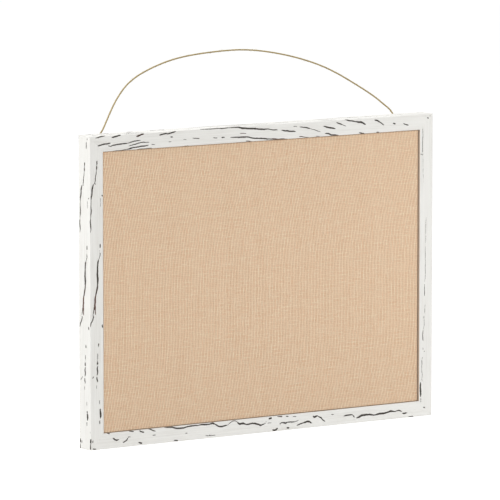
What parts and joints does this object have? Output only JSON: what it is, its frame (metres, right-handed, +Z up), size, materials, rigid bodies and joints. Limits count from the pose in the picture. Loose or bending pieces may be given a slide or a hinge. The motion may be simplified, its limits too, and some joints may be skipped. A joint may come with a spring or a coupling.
{
  "type": "bulletin board",
  "caption": "Framed pin board: a mitred, white-washed wooden frame round a burlap-covered panel, hung by stiff twine tied to screw eyes in its back.",
  "frame": {"origin": "middle of the bottom rail's back face, on the plane that faces the wall", "axes": "+X to the viewer's right along the board's width, +Y out of the back towards the wall, +Z up"},
  "size_m": [0.61, 0.1121, 0.5591],
  "materials": {
    "whitewashed_wood": "thin white wash, worn and cracked, matte",
    "burlap": "plain-woven jute, matte",
    "softboard": "soft pressed fibre, matte",
    "hardboard": "smooth pressed fibre, dull",
    "zinc_steel": "zinc-plated, dull",
    "brass_wire": "brass-plated, satin",
    "jute_twine": "twisted jute, matte",
    "bumper_rubber": "soft, pale, dull"
  },
  "bodies": {
    "board": {"rail_top": "whitewashed_wood", "rail_bottom": "whitewashed_wood", "stile_left": "whitewashed_wood", "stile_right": "whitewashed_wood", "v_nail_top_left_1": "zinc_steel", "v_nail_top_left_2": "zinc_steel", "v_nail_top_right_1": "zinc_steel", "v_nail_top_right_2": "zinc_steel", "v_nail_bottom_right_1": "zinc_steel", "v_nail_bottom_right_2": "zinc_steel", "v_nail_bottom_left_1": "zinc_steel", "v_nail_bottom_left_2": "zinc_steel", "burlap_cover": "burlap", "pinboard_core": "softboard", "backing_board": "hardboard", "point_top_1": "zinc_steel", "point_top_2": "zinc_steel", "point_top_3": "zinc_steel", "point_bottom_1": "zinc_steel", "point_bottom_2": "zinc_steel", "point_bottom_3": "zinc_steel", "point_left_1": "zinc_steel", "point_left_2": "zinc_steel", "point_right_1": "zinc_steel", "point_right_2": "zinc_steel", "screw_eye_left": "brass_wire", "screw_eye_right": "brass_wire", "bumper_left": "bumper_rubber", "bumper_right": "bumper_rubber"},
    "hanger": {"hanger_twine": "jute_twine", "hanger_knot_left": "jute_twine", "hanger_knot_right": "jute_twine"}
  },
  "joints": [
    {"name": "hanger_swing", "type": "hinge", "parent": "board", "child": "hanger", "pos_m": [0, 0.0054, 0.43825], "axis": [-1, 0, 0], "range_deg": [-54, 150]}
  ]
}
